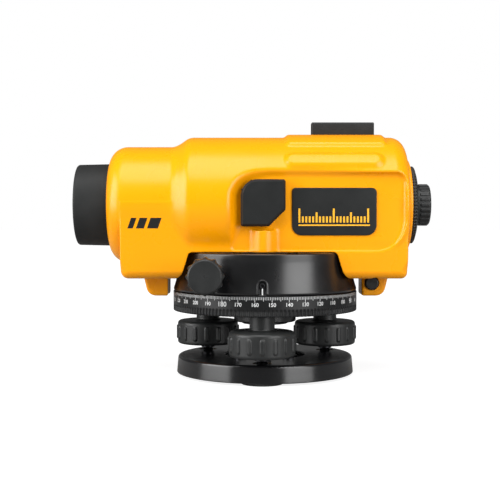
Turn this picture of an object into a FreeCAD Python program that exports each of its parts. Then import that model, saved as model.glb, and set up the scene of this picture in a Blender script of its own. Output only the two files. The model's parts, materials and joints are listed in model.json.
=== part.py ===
import FreeCAD, Part
import os
from math import cos, pi, radians, sin, sqrt, tan

# Automatic optical level, millimetres. Z is up and the origin is on the vertical axis, at the
# bottom of the base pads. The objective points to -X and the eyepiece to +X.

# Levelling head
BASE_R = 54.1
BASE_BOTTOM = 1.5
BASE_TOP = 12.0
BASE_SKIN = 8.6                 # underside of the base's top wall
RECESS_R = 24.6                 # central hollow for the spring plate
RECESS_FLOOR = 6.4
TRIPOD_THREAD_R = 6.75          # 5/8"-11 UNC, minor radius
TRIPOD_BOSS_TOP = 8.5
SCREW_CIRCLE_R = 43.0
SCREW_ANGLES = {"front": -93.0, "right": 27.0, "left": 147.0}
PAD_R = 12.2
PAD_CIRCLE_R = 41.0
ARM_ANGLES = (-33.0, 87.0, 207.0)
ARM_SCREW_R = 17.0
SPRING_BOTTOM = 11.2
SPRING_TOP = 12.4
KNOB_R = 19.9
KNOB_BOTTOM = 16.0
KNOB_TOP = 30.7
KNOB_RIBS = 16
SLEEVE_R = 7.3
SLEEVE_TOP = 40.2
STEM_R = 4.25
BALL_R = 4.0
BALL_Z = 10.2
THREAD_R = 3.8
SCREW_TOP = 47.0
NUT_BORE_R = 4.15
TRIBRACH_Z = 42.8
TRIBRACH_TOP = 46.3
HUB_R = 19.0
HUB_BOTTOM = 32.3

# Horizontal circle and the black alidade base
CIRCLE_R = 56.2
CIRCLE_BOTTOM = 39.6
CIRCLE_TOP = 51.5
COLLAR_R = 29.9
AXIS_R = 7.46
ALIDADE_BOTTOM = 51.9
ALIDADE_R = 56.0
ALIDADE_TOP_R = 52.5
ALIDADE_TOP = 74.1
WALL = 2.6

# Tangent drive
TANGENT_X = -34.3
TANGENT_Z = 63.0
GEAR_MODULE = 0.7
WHEEL_TEETH = 86
TANGENT_KNOB_R = 11.0

# Telescope body
AXIS_Z = 103.6
FRONT_R = 35.35
BARREL_R = 41.1
BAND_R = 42.8                   # raised bands on the barrel
BAND_X = 12.0
BAND_LENGTH = 59.0
FRONT_X = -95.5
STEP_FRONT_X = -54.4
STEP_REAR_X = -45.8
REAR_X = 84.5
SKIRT_FRONT_X = -85.2
SKIRT_REAR_X = 84.0
SKIRT_BOTTOM = 60.0
SKIRT_Y = 33.0
SKIRT_TOP_Y = 35.3
PANEL_Y = 33.4
CUT_TOP = 75.6
FLOOR_TOP = 79.0
SHELL = 3.2

# Focusing
PINION_X = 3.0
PINION_PITCH_R = 3.0
PINION_TEETH = 12
FOCUS_KNOB_R = 17.5

# Optics
DISH = 0.6                      # depth of a hollow lens face
COMPENSATOR_X = 37.0

# Circular bubble and its mirror flap
VIAL_X = -1.1
VIAL_Y = -31.0
VIAL_BOSS_R = 7.3
HINGE_CENTRE = (-10.46, -36.6, 113.96)
HINGE_AXIS = (1 / sqrt(2), 0, 1 / sqrt(2))

# Compensator check button
BUTTON_X = 64.5
BUTTON_Z = 56.3

V = FreeCAD.Vector
PARTS = {}


def keep(name, shape):
    """Store one named sub-part."""
    PARTS[name] = shape


def rod(radius, start, end):
    """Cylinder between two points."""
    run = V(*end) - V(*start)
    return Part.makeCylinder(radius, run.Length, V(*start), run)


def ring(outer, inner, start, end):
    """Tube between two points."""
    return rod(outer, start, end).cut(rod(inner, start, end))


def block(low, high):
    """Box between its lowest and highest corners."""
    return Part.makeBox(high[0] - low[0], high[1] - low[1], high[2] - low[2], V(*low))


def join(shapes):
    """Fuse a list of shapes into one clean solid."""
    first = shapes[0]
    return first.fuse(shapes[1:]).removeSplitter() if len(shapes) > 1 else first


def outline(points, place):
    """Closed wire through (a, b, corner radius) points; place turns (a, b) into a point."""
    stops = []
    for index, (a, b, radius) in enumerate(points):
        here = V(a, b, 0)
        back = (V(*points[index - 1][:2], 0) - here).normalize()
        ahead = (V(*points[(index + 1) % len(points)][:2], 0) - here).normalize()
        half = back.getAngle(ahead) / 2
        reach = radius / tan(half)
        middle = here + (back + ahead).normalize() * (radius / sin(half) - radius) if radius else here
        stops.append((here + back * reach, middle, here + ahead * reach))
    edges = []
    for index, (start, middle, end) in enumerate(stops):
        if (end - start).Length > 1e-6:
            edges.append(Part.Arc(place(start), place(middle), place(end)).toShape())
        following = stops[(index + 1) % len(stops)][0]
        if (following - end).Length > 1e-6:
            edges.append(Part.makeLine(place(end), place(following)))
    return Part.Wire(edges)


def turned_z(points):
    """Solid of revolution about Z from (radius, height, corner radius) points."""
    face = Part.Face(outline(points, lambda p: V(p.x, 0, p.y)))
    return face.revolve(V(0, 0, 0), V(0, 0, 1), 360)


def turned_x(points):
    """Solid of revolution about the telescope axis from (x, radius, corner radius) points."""
    face = Part.Face(outline(points, lambda p: V(p.x, 0, AXIS_Z + p.y)))
    return face.revolve(V(0, 0, AXIS_Z), V(1, 0, 0), 360)


def plate_xy(points, z_low, z_high):
    """Flat plate with its outline in XY."""
    face = Part.Face(outline(points, lambda p: V(p.x, p.y, z_low)))
    return face.extrude(V(0, 0, z_high - z_low))


def plate_xz(points, y_low, y_high):
    """Flat plate with its outline in XZ."""
    face = Part.Face(outline(points, lambda p: V(p.x, y_low, p.y)))
    return face.extrude(V(0, y_high - y_low, 0))


def plate_yz(points, x_low, x_high):
    """Flat plate with its outline in YZ."""
    face = Part.Face(outline(points, lambda p: V(x_low, p.x, p.y)))
    return face.extrude(V(x_high - x_low, 0, 0))


def spun(shape, angle, centre=(0, 0, 0), axis=(0, 0, 1)):
    """Copy of a shape turned about an axis."""
    copy = shape.copy()
    copy.rotate(V(*centre), V(*axis), angle)
    return copy


def polar(radius, angle, z):
    """Point at a radius and angle about the vertical axis."""
    return (radius * cos(radians(angle)), radius * sin(radians(angle)), z)


def post(radius, reach, angle, low, high):
    """Upright cylinder that stands at a radius and angle about the vertical axis."""
    return rod(radius, polar(reach, angle, low), polar(reach, angle, high))


def axis_point(x, y=0.0, z=0.0):
    """Point given relative to the telescope axis."""
    return (x, y, AXIS_Z + z)


def mirrored(shape):
    """Copy of a shape on the other side of the XZ plane."""
    return shape.mirror(V(0, 0, 0), V(0, 1, 0))


def base_plate():
    """Round base: flat top with a central recess, tripod thread boss, and a ribbed hollow underside."""
    under_recess = RECESS_FLOOR - 2.4
    recess_outer_r = RECESS_R + 2.4
    profile = [(TRIPOD_THREAD_R, 0, 0.4), (13.0, 0, 0.5), (13.0, under_recess, 1.0),
               (recess_outer_r, under_recess, 0.8), (recess_outer_r, BASE_SKIN, 1.0),
               (BASE_R - 4.4, BASE_SKIN, 1.5), (BASE_R - 4.0, BASE_BOTTOM, 0.4),
               (BASE_R, BASE_BOTTOM, 0.5), (BASE_R - 0.9, BASE_TOP, 1.6), (RECESS_R, BASE_TOP, 0.6),
               (RECESS_R, RECESS_FLOOR, 1.0), (12.0, RECESS_FLOOR, 0.8), (12.0, TRIPOD_BOSS_TOP, 0.4),
               (TRIPOD_THREAD_R, TRIPOD_BOSS_TOP, 0.3)]
    solids = [turned_z(profile)]
    for angle in SCREW_ANGLES.values():
        solids.append(post(PAD_R, PAD_CIRCLE_R, angle, BASE_BOTTOM, 10))
    web_bottom = BASE_BOTTOM + 0.6
    for angle in ARM_ANGLES:
        web = block((12.0, -1.5, web_bottom), (BASE_R - 3.0, 1.5, RECESS_FLOOR - 1.0))
        deep_web = block((RECESS_R + 1.0, -1.5, web_bottom), (BASE_R - 3.0, 1.5, BASE_SKIN + 1.0))
        solids.append(spun(web.fuse(deep_web), angle))
        solids.append(post(4.2, ARM_SCREW_R, angle, RECESS_FLOOR - 1.0, 10.2))
    plate = join(solids)
    for angle in SCREW_ANGLES.values():
        plate = plate.cut(post(5.6, SCREW_CIRCLE_R, angle, 4.6, BASE_TOP + 1))
    for angle in ARM_ANGLES:
        plate = plate.cut(post(1.8, ARM_SCREW_R, angle, 4.5, BASE_TOP))
    return plate


def foot_seats():
    """Brass cups that hold the ball ends of the foot screws."""
    seats = []
    for angle in SCREW_ANGLES.values():
        centre = polar(SCREW_CIRCLE_R, angle, BALL_Z)
        cup = post(5.6, SCREW_CIRCLE_R, angle, 4.6, 11.4)
        cup = cup.cut(Part.makeSphere(BALL_R + 0.1, V(*centre)))
        seats.append(cup.cut(rod(BALL_R + 0.1, centre, polar(SCREW_CIRCLE_R, angle, 12))))
    return Part.makeCompound(seats)


def base_pads():
    """Three round pads on the underside."""
    pads = []
    for angle in SCREW_ANGLES.values():
        pad = turned_z([(0, 0, 0), (PAD_R, 0, 0.4), (PAD_R, BASE_BOTTOM, 0), (0, BASE_BOTTOM, 0)])
        pad.translate(V(*polar(PAD_CIRCLE_R, angle, 0)))
        pads.append(pad)
    return Part.makeCompound(pads)


def spring_plate_screws():
    """Shoulder screws that stop the spring plate lifting."""
    head_bottom = SPRING_TOP + 1.2
    screws = []
    for angle in ARM_ANGLES:
        shank = post(1.8, ARM_SCREW_R, angle, 4.5, head_bottom + 0.4)
        head = post(3.6, ARM_SCREW_R, angle, head_bottom, head_bottom + 1.6)
        slot = block((ARM_SCREW_R - 5, -0.5, head_bottom + 0.9),
                     (ARM_SCREW_R + 5, 0.5, head_bottom + 3))
        screws.append(shank.fuse(head).cut(spun(slot, angle)).removeSplitter())
    return Part.makeCompound(screws)


def spring_plate():
    """Three-armed flat spring between the base and the tribrach."""
    solids = [rod(12.0, (0, 0, SPRING_BOTTOM), (0, 0, SPRING_TOP))]
    for angle in ARM_ANGLES:
        arm = plate_xy([(5, -5, 0), (22, -5, 4.5), (22, 5, 4.5), (5, 5, 0)],
                       SPRING_BOTTOM, SPRING_TOP)
        solids.append(spun(arm, angle))
    plate = join(solids).cut(rod(5.6, (0, 0, SPRING_BOTTOM - 1), (0, 0, SPRING_TOP + 1)))
    for angle in ARM_ANGLES:
        plate = plate.cut(post(3.1, ARM_SCREW_R, angle, SPRING_BOTTOM - 1, SPRING_TOP + 1))
    return plate


def spring_stud():
    """Central stud that pulls the tribrach down to the spring plate."""
    neck_top = SPRING_TOP + 1.4
    return turned_z([(0, 9.3, 0), (7.5, 9.3, 0.4), (7.5, 10.3, 0.3), (3.0, 10.3, 0),
                     (3.0, neck_top, 0), (3.8, neck_top, 0), (3.8, 31.0, 0), (14.0, 31.0, 0.4),
                     (14.0, HUB_BOTTOM, 0), (0, HUB_BOTTOM, 0)])


def foot_screw(angle):
    """Steel spindle: ball end, neck, stem and upper thread."""
    spindle = turned_z([(0, BALL_Z, 0), (2.6, BALL_Z, 0), (2.6, 13.0, 0), (STEM_R, 13.6, 0),
                        (STEM_R, SLEEVE_TOP - 0.6, 0), (THREAD_R, SLEEVE_TOP - 0.2, 0),
                        (THREAD_R, SCREW_TOP, 0.5), (0, SCREW_TOP, 0)])
    spindle = spindle.fuse(Part.makeSphere(BALL_R, V(0, 0, BALL_Z))).removeSplitter()
    spindle.translate(V(*polar(SCREW_CIRCLE_R, angle, 0)))
    return spindle


def foot_knob(angle):
    """Plastic hand wheel with raised grips and a dust sleeve."""
    body_r = KNOB_R - 0.9
    wheel = turned_z([(STEM_R, KNOB_BOTTOM, 0), (body_r, KNOB_BOTTOM, 1.6), (body_r, KNOB_TOP, 1.8),
                      (SLEEVE_R + 0.4, KNOB_TOP, 0), (SLEEVE_R, KNOB_TOP + 0.4, 0),
                      (SLEEVE_R, SLEEVE_TOP, 0.5), (STEM_R, SLEEVE_TOP, 0)])
    middle = (KNOB_BOTTOM + KNOB_TOP) / 2
    grip = block((body_r - 2, -1.1, middle - 2.8), (KNOB_R, 1.1, middle + 2.8))
    for side in (-1, 1):
        end_z = middle + side * 2.8
        grip = grip.fuse(rod(1.1, (body_r - 2, 0, end_z), (KNOB_R, 0, end_z)))
    grip = grip.removeSplitter()
    grips = [spun(grip, index * 360 / KNOB_RIBS) for index in range(KNOB_RIBS)]
    knob = join([wheel] + grips)
    knob.translate(V(*polar(SCREW_CIRCLE_R, angle, 0)))
    return knob


def tribrach():
    """Body that the foot screws carry: hub, disc, collar and screw bosses."""
    body = turned_z([(11.0, HUB_BOTTOM, 0), (HUB_R, HUB_BOTTOM, 1.0), (HUB_R, TRIBRACH_Z, 2.0),
                     (52.2, TRIBRACH_Z, 0.8), (52.2, TRIBRACH_TOP, 0.8), (COLLAR_R, TRIBRACH_TOP, 0),
                     (COLLAR_R, CIRCLE_TOP - 0.3, 0.4), (10.0, CIRCLE_TOP - 0.3, 0), (10.0, 37.5, 0),
                     (11.0, 37.5, 0)])
    solids = [body]
    for angle in SCREW_ANGLES.values():
        solids.append(post(7.2, SCREW_CIRCLE_R, angle, TRIBRACH_Z + 1, 48.0))
    body = join(solids)
    for angle in SCREW_ANGLES.values():
        body = body.cut(post(5.6, SCREW_CIRCLE_R, angle, 40, 50))
    return body


def foot_screw_nuts():
    """Brass threaded bushes in the tribrach."""
    nuts = []
    for angle in SCREW_ANGLES.values():
        nuts.append(ring(5.6, NUT_BORE_R, polar(SCREW_CIRCLE_R, angle, TRIBRACH_Z),
                         polar(SCREW_CIRCLE_R, angle, 48.0)))
    return Part.makeCompound(nuts)


def horizontal_circle():
    """Graduated cup that turns on the tribrach collar by hand."""
    return turned_z([(COLLAR_R + 0.1, 48.8, 0), (53.2, 48.8, 1.0), (53.2, CIRCLE_BOTTOM, 0),
                     (CIRCLE_R, CIRCLE_BOTTOM, 0.5), (CIRCLE_R, CIRCLE_TOP, 0.4),
                     (COLLAR_R + 0.1, CIRCLE_TOP, 0)])


def tangent_hole(side, radius):
    """Cylinder on the tangent axis, from inside the wall outwards."""
    return rod(radius, (TANGENT_X, side * 30.0, TANGENT_Z), (TANGENT_X, side * 60.0, TANGENT_Z))


def alidade_base():
    """Flared black cup with the index window and the tangent bushes' holes."""
    inner = ALIDADE_TOP_R - WALL
    cup = turned_z([(AXIS_R + 0.6, ALIDADE_BOTTOM, 0), (ALIDADE_R - 0.4, ALIDADE_BOTTOM, 0),
                    (ALIDADE_R, ALIDADE_BOTTOM + 0.6, 0), (ALIDADE_R, 58.6, 1.2), (53.4, 62.4, 6.0),
                    (52.2, 68.0, 14.0), (ALIDADE_TOP_R, ALIDADE_TOP, 0.6), (inner, ALIDADE_TOP, 0),
                    (inner, 54.5, 1.5), (AXIS_R + 0.6, 54.5, 0)])
    for side in (-1, 1):
        cup = cup.cut(tangent_hole(side, 5.0))
    window = plate_xz([(-5.3, 51.0, 0), (0.7, 51.0, 0), (0.7, 60.6, 2.9), (-5.3, 60.6, 2.9)],
                      -60.0, -54.2)
    return cup.cut(window)


def alidade_cover():
    """Disc that closes the alidade base."""
    cover = rod(ALIDADE_TOP_R - WALL, (0, 0, ALIDADE_TOP - WALL), (0, 0, ALIDADE_TOP))
    for x, y in screw_corners():
        cover = cover.cut(rod(2.4, (x, y, 70), (x, y, 80)))
    return cover


def screw_corners():
    """Places of the four screws that hold the housing to its base."""
    return [(x, y) for x in (-17.0, 17.0) for y in (-17.0, 17.0)]


def base_screws():
    """Four pan-head screws from the base into the housing floor."""
    under = ALIDADE_TOP - WALL
    screws = []
    for x, y in screw_corners():
        head = rod(4.2, (x, y, under - 2.6), (x, y, under))
        screws.append(head.fuse(rod(2.4, (x, y, under - 1), (x, y, FLOOR_TOP - 1))).removeSplitter())
    return Part.makeCompound(screws)


def axis_spindle():
    """Vertical axis: journal, flange on the alidade floor and a hub for the worm wheel."""
    return turned_z([(0, 33.2, 0), (AXIS_R, 33.2, 0.6), (AXIS_R, 54.5, 0), (22.0, 54.5, 0),
                     (22.0, 57.0, 0.5), (19.0, 57.0, 0), (19.0, 61.2, 0), (16.0, 61.2, 0),
                     (16.0, 67.0, 0.4), (0, 67.0, 0)])


def worm_wheel():
    """Friction wheel on the spindle hub, with the teeth that the tangent worm drives."""
    pitch_r = GEAR_MODULE * WHEEL_TEETH / 2
    root_r = pitch_r - 1.25 * GEAR_MODULE
    tip_r = pitch_r + 0.85 * GEAR_MODULE
    blank = rod(tip_r, (0, 0, 61.6), (0, 0, 64.4)).cut(rod(16.05, (0, 0, 61), (0, 0, 65)))
    step = 360 / WHEEL_TEETH
    gap_root = 0.42 * GEAR_MODULE * pi / 2
    gap_tip = 0.62 * GEAR_MODULE * pi
    gap = plate_xy([(root_r, -gap_root, 0.1), (tip_r + 0.5, -gap_tip / 1.6, 0),
                    (tip_r + 0.5, gap_tip / 1.6, 0), (root_r, gap_root, 0.1)], 61.0, 65.0)
    gaps = [spun(gap, 180 + index * step) for index in range(WHEEL_TEETH)]
    return blank.cut(Part.makeCompound(gaps))


def axis_nut():
    """Nut that holds the spindle down in the tribrach."""
    nut = plate_xy([polar(10.6, 60 * index, 0)[:2] + (0.3,) for index in range(6)], 33.2, 36.9)
    return nut.cut(rod(AXIS_R, (0, 0, 33), (0, 0, 37)))


def tangent_shaft():
    """Cross shaft with a one-start worm in the middle."""
    pitch_r = -TANGENT_X - GEAR_MODULE * WHEEL_TEETH / 2
    pitch = GEAR_MODULE * pi
    length = 4 * pitch
    root_r = pitch_r - 1.0 * GEAR_MODULE
    tip_r = pitch_r + 0.75 * GEAR_MODULE
    helix = Part.makeHelix(pitch, length, root_r)
    tooth = Part.makePolygon([V(root_r - 0.25, 0, -0.62), V(tip_r, 0, -0.26), V(tip_r, 0, 0.26),
                              V(root_r - 0.25, 0, 0.62), V(root_r - 0.25, 0, -0.62)])
    thread = Part.Wire(helix).makePipeShell([tooth], True, True)
    worm = thread.fuse(Part.makeCylinder(root_r, length + 3.0, V(0, 0, -1.5))).removeSplitter()
    worm.translate(V(0, 0, -length / 2))
    worm.rotate(V(0, 0, 0), V(1, 0, 0), -90)
    worm.translate(V(TANGENT_X, 0, TANGENT_Z))
    shaft = rod(3.0, (TANGENT_X, -61.0, TANGENT_Z), (TANGENT_X, 61.0, TANGENT_Z))
    return worm.fuse(shaft).removeSplitter()


def tangent_bushes():
    """Bronze bushes in the alidade wall."""
    outer = sqrt(ALIDADE_TOP_R ** 2 - TANGENT_X ** 2) + 1.6
    bushes = []
    for side in (-1, 1):
        inner_end = (TANGENT_X, side * 35.0, TANGENT_Z)
        bushes.append(ring(5.0, 3.05, inner_end, (TANGENT_X, side * outer, TANGENT_Z)))
    return Part.makeCompound(bushes)


def tangent_knob(side):
    """Lobed knob for one end of the tangent shaft."""
    face = side * 65.0
    back = side * 52.4
    disc = rod(TANGENT_KNOB_R - 1.1, (TANGENT_X, back, TANGENT_Z), (TANGENT_X, face, TANGENT_Z))
    edges = [edge for edge in disc.Edges if abs(edge.BoundBox.YLength) < 1e-6]
    disc = disc.makeFillet(0.8, edges)
    lobes = []
    for index in range(12):
        angle = radians(30 * index)
        x = TANGENT_X + (TANGENT_KNOB_R - 2.0) * cos(angle)
        z = TANGENT_Z + (TANGENT_KNOB_R - 2.0) * sin(angle)
        lobes.append(rod(2.0, (x, back + side * 1.2, z), (x, face - side * 1.4, z)))
    collar = rod(5.6, (TANGENT_X, side * 48.0, TANGENT_Z), (TANGENT_X, back, TANGENT_Z))
    knob = join([disc, collar] + lobes)
    return knob.cut(rod(3.0, (TANGENT_X, side * 40, TANGENT_Z), (TANGENT_X, side * 61.0, TANGENT_Z)))


def index_plate():
    """Pointer plate in the index window, with its screw head."""
    plate = plate_xz([(-4.9, 52.1, 0), (0.3, 52.1, 0), (0.3, 60.2, 2.5), (-4.9, 60.2, 2.5)],
                     -54.9, -54.2)
    return plate.fuse(rod(1.7, (-2.3, -55.5, 57.6), (-2.3, -54.9, 57.6))).removeSplitter()


def body_outer():
    """Outside of the yellow housing, before its openings."""
    front = turned_x([(FRONT_X, 0, 0), (FRONT_X, FRONT_R, 10.5), (STEP_REAR_X, FRONT_R, 0),
                      (STEP_REAR_X, 0, 0)])
    barrel = turned_x([(STEP_FRONT_X, 0, 0), (STEP_FRONT_X, FRONT_R - 0.6, 0),
                       (STEP_REAR_X, BARREL_R, 5.0), (REAR_X, BARREL_R, 9.0), (REAR_X, 0, 0)])
    section = plate_yz([(-SKIRT_Y, SKIRT_BOTTOM, 3.0), (SKIRT_Y, SKIRT_BOTTOM, 3.0),
                        (SKIRT_TOP_Y, AXIS_Z, 0), (-SKIRT_TOP_Y, AXIS_Z, 0)], SKIRT_FRONT_X, SKIRT_REAR_X)
    side_view = plate_xz([(SKIRT_FRONT_X, SKIRT_BOTTOM, 4.6), (SKIRT_REAR_X, SKIRT_BOTTOM, 3.6),
                          (SKIRT_REAR_X, 120, 0), (SKIRT_FRONT_X, 120, 0)], -60, 60)
    solids = [front, barrel, section.common(side_view)]
    for low, high in ((-36, 36), (45.5, 59.5), (-59.5, -45.5)):
        band = Part.makeCylinder(BAND_R, BAND_LENGTH, V(BAND_X, 0, AXIS_Z), V(1, 0, 0), high - low)
        solids.append(spun(band, low, (0, 0, AXIS_Z), (1, 0, 0)))
    for x_low, x_high, slant in ((-74.1, -57.1, -1), (58.5, 75.0, 1)):
        solids.append(tab(x_low, x_high, slant))
    return solids


def tab(x_low, x_high, slant):
    """Lug under the skirt; its outer edge leans inwards."""
    if slant < 0:
        points = [(x_low, 62, 0), (x_low + 3.2, 48.5, 3.5), (x_high, 48.5, 1.2), (x_high, 62, 0)]
    else:
        points = [(x_low, 62, 0), (x_low, 48.5, 1.2), (x_high - 3.2, 48.5, 3.5), (x_high, 62, 0)]
    return plate_xz(points, -11.0, 11.0)


def cone_clearance():
    """Space inside the skirt for the alidade base."""
    return turned_z([(0, 40, 0), (57.8, 40, 0), (57.8, 61.0, 0), (54.6, 66.0, 8.0), (54.2, CUT_TOP, 1.2),
                     (0, CUT_TOP, 0)])


def side_recess():
    """Space cut into the side for the panel."""
    return plate_xz([(-20.4, 77.0, 2.0), (80.2, 77.0, 16.0), (80.2, 122.0, 3.0), (-20.4, 122.0, 15.5)],
                    -60.0, -PANEL_Y)


def cavity():
    """Space inside the shell."""
    inner = turned_x([(FRONT_X + SHELL, 0, 0), (FRONT_X + SHELL, FRONT_R - SHELL, 8.0),
                      (STEP_REAR_X - 4, FRONT_R - SHELL, 0), (STEP_REAR_X + 2, 30.0, 0),
                      (REAR_X - SHELL, 30.0, 3.0), (REAR_X - SHELL, 0, 0)])
    above = block((-100, -50, FLOOR_TOP), (100, 50, 160))
    solids = [inner.common(above)]
    for x_low, x_high in ((-81.5, -62.0), (62.0, 80.5)):
        solids.append(block((x_low, -28.0, 63.5), (x_high, 28.0, FLOOR_TOP + 6)))
    return solids


def main_housing():
    """Yellow shell of the telescope."""
    shell = join(body_outer())
    shell = shell.cut(side_recess().fuse(mirrored(side_recess())))
    shell = shell.fuse(rod(VIAL_BOSS_R, (VIAL_X, VIAL_Y, 74), (VIAL_X, VIAL_Y, 87.4)))
    shell = shell.cut(cone_clearance())
    shell = shell.fuse(rod(28.0, (0, 0, ALIDADE_TOP), (0, 0, CUT_TOP + 1)))
    for solid in cavity():
        shell = shell.cut(solid)
    shell = shell.cut(rod(22.6, axis_point(FRONT_X - 1), axis_point(FRONT_X + SHELL + 1)))
    shell = shell.cut(rod(13.5, axis_point(REAR_X - SHELL - 1), axis_point(REAR_X + 1)))
    shell = shell.cut(rod(5.5, (PINION_X, 20.0, AXIS_Z), (PINION_X, 40.0, AXIS_Z)))
    shell = shell.cut(rod(6.0, (VIAL_X, VIAL_Y, 80.0), (VIAL_X, VIAL_Y, 90.0)))
    shell = shell.cut(rod(4.35, (BUTTON_X, -14, BUTTON_Z), (BUTTON_X, -6.0, BUTTON_Z)))
    shell = shell.cut(rod(2.05, (BUTTON_X, -12, BUTTON_Z), (BUTTON_X, 3.0, BUTTON_Z)))
    for x, y in screw_corners():
        shell = shell.cut(rod(2.4, (x, y, 70), (x, y, FLOOR_TOP - 1)))
    return shell.removeSplitter()


def lens_shade():
    """Black sun shade around the objective."""
    return turned_x([(-114.4, 21.0, 0.6), (-114.4, 24.6, 1.6), (FRONT_X, 25.0, 0), (FRONT_X, 22.9, 0),
                     (-99.0, 22.9, 0), (-99.0, 22.0, 0)])


def objective_cell():
    """Cell that holds the objective doublet in the front wall, with its retaining lip."""
    return turned_x([(-98.6, 17.6, 0.5), (-98.6, 22.6, 0), (-84.0, 22.6, 0), (-84.0, 17.0, 0),
                     (-86.0, 17.0, 0), (-86.0, 19.2, 0), (-96.4, 19.2, 0), (-96.4, 17.6, 0)])


def lens(x_front, x_rear, radius, front_curve, rear_curve):
    """Lens on the telescope axis; a positive curve bulges out and a negative one dishes in."""
    body = rod(radius, axis_point(x_front), axis_point(x_rear))
    for pole, side, curve in ((x_front, -1, front_curve), (x_rear, 1, rear_curve)):
        if curve > 0:
            body = body.common(Part.makeSphere(curve, V(*axis_point(pole - side * curve))))
        if curve < 0:
            body = body.cut(Part.makeSphere(-curve, V(*axis_point(pole - side * (curve + DISH)))))
    return body


def objective_lenses():
    """Two elements of the objective with a thin air gap."""
    return Part.makeCompound([lens(-97.6, -92.4, 19.2, 90, 90), lens(-91.6, -87.4, 19.2, -90, 0)])


def telescope_tube():
    """Inner tube that guides the focusing carriage, slotted on the pinion side."""
    tube = ring(16.6, 15.0, axis_point(-84.0), axis_point(5.0))
    flange = ring(22.6, 16.6, axis_point(-84.0), axis_point(-81.5))
    slot = block((-46.0, 10.0, AXIS_Z - 7.0), (2.0, 20.0, AXIS_Z - 1.2))
    return tube.fuse(flange).cut(slot).removeSplitter()


def focusing_carriage():
    """Lens cell that slides in the tube, with its rack outside on an arm."""
    cell = ring(14.95, 12.0, axis_point(-34.0), axis_point(-14.0))
    arm = block((-28.0, 13.0, AXIS_Z - 6.6), (-18.0, 17.9, AXIS_Z - 4.6))
    arm = arm.cut(rod(14.0, axis_point(-40), axis_point(0)))
    arm = arm.fuse(block((-28.0, 14.4, AXIS_Z - 6.6), (-18.0, 17.9, AXIS_Z - 4.6)))
    pitch = 2 * pi * PINION_PITCH_R / PINION_TEETH
    depth = PINION_PITCH_R - 0.62
    top = AXIS_Z - depth
    bar = block((-30.0, 17.5, AXIS_Z - 6.6), (12.0, 21.5, top))
    gaps = []
    first = int((-30.0 - PINION_X) / pitch) - 1
    for index in range(first, first + 32):
        x = PINION_X + index * pitch
        corners = [(x - 0.30, top - 1.15, 0), (x + 0.30, top - 1.15, 0), (x + 0.75, top + 0.2, 0),
                   (x - 0.75, top + 0.2, 0)]
        gaps.append(plate_xz(corners, 17.0, 22.0))
    bar = bar.cut(Part.makeCompound(gaps))
    return cell.fuse([arm, bar]).removeSplitter()


def focus_shaft():
    """Pinion and its shaft, across to the far side."""
    outer = PINION_PITCH_R + 0.40
    root = PINION_PITCH_R - 0.65
    step = 360 / PINION_TEETH
    blank = rod(root, (PINION_X, 17.2, AXIS_Z), (PINION_X, 22.0, AXIS_Z))
    low = AXIS_Z + root - 0.3
    high = AXIS_Z + outer
    tooth = plate_xz([(PINION_X - 0.50, low, 0), (PINION_X + 0.50, low, 0), (PINION_X + 0.14, high, 0),
                      (PINION_X - 0.14, high, 0)], 17.4, 21.8)
    centre = (PINION_X, 0, AXIS_Z)
    teeth = [spun(tooth, 180 + index * step, centre, (0, 1, 0)) for index in range(PINION_TEETH)]
    shaft = rod(2.2, (PINION_X, 21.0, AXIS_Z), (PINION_X, 50.0, AXIS_Z))
    return join([blank, shaft] + teeth)


def focus_bush():
    """Bronze bush in the far wall."""
    return ring(5.5, 2.25, (PINION_X, 23.0, AXIS_Z), (PINION_X, 35.4, AXIS_Z))


def focus_knob():
    """Large focusing knob on the far side."""
    low = 36.2
    high = 53.0
    centre = (PINION_X, low, AXIS_Z)
    disc = rod(FOCUS_KNOB_R - 0.8, centre, (PINION_X, high, AXIS_Z))
    edges = [edge for edge in disc.Edges if abs(edge.BoundBox.YLength) < 1e-6]
    disc = disc.makeFillet(1.4, edges)
    bars = []
    for index in range(24):
        bar = block((PINION_X - 0.8, low + 2.2, AXIS_Z + 10),
                    (PINION_X + 0.8, high - 2.4, AXIS_Z + FOCUS_KNOB_R))
        bars.append(spun(bar, 15 * index, (PINION_X, 0, AXIS_Z), (0, 1, 0)))
    knob = join([disc] + bars)
    return knob.cut(rod(2.2, (PINION_X, low - 1, AXIS_Z), (PINION_X, 50.0, AXIS_Z)))


def compensator_frame():
    """Open box that carries the prisms and the suspension."""
    x = COMPENSATOR_X
    z = AXIS_Z
    frame = block((x - 21.0, -15.0, z - 22.0), (x + 21.0, 15.0, z + 22.0))
    frame = frame.cut(block((x - 18.5, -12.5, z - 19.5), (x + 18.5, 12.5, z + 19.5)))
    frame = frame.cut(block((x - 16.5, -30.0, z - 15.0), (x + 16.5, 30.0, z + 15.0)))
    frame = frame.cut(rod(11.0, axis_point(0), axis_point(x + 30)))
    foot = block((x - 17.0, -14.0, FLOOR_TOP), (x + 17.0, 14.0, z - 22.0))
    return frame.fuse(foot).removeSplitter()


def fixed_prisms():
    """Front and rear erecting prisms, held on the frame's end walls."""
    prisms = []
    for side in (-1, 1):
        wall = COMPENSATOR_X + side * 18.5
        corners = [(wall, AXIS_Z - 9, 0), (wall - side * 8, AXIS_Z + 9, 0), (wall, AXIS_Z + 9, 0)]
        prisms.append(plate_xz(corners, -9, 9))
    return Part.makeCompound(prisms)


def suspension_wires():
    """Four thin wires from the frame's top; their lower ends stop just above the pendulum."""
    wires = []
    for y in (-8.0, 8.0):
        for side in (-1, 1):
            top = (COMPENSATOR_X + side * 6.0, y, AXIS_Z + 19.5)
            wires.append(rod(0.15, top, (COMPENSATOR_X + side * 2.5, y, AXIS_Z + 13.4)))
    return Part.makeCompound(wires)


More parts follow.
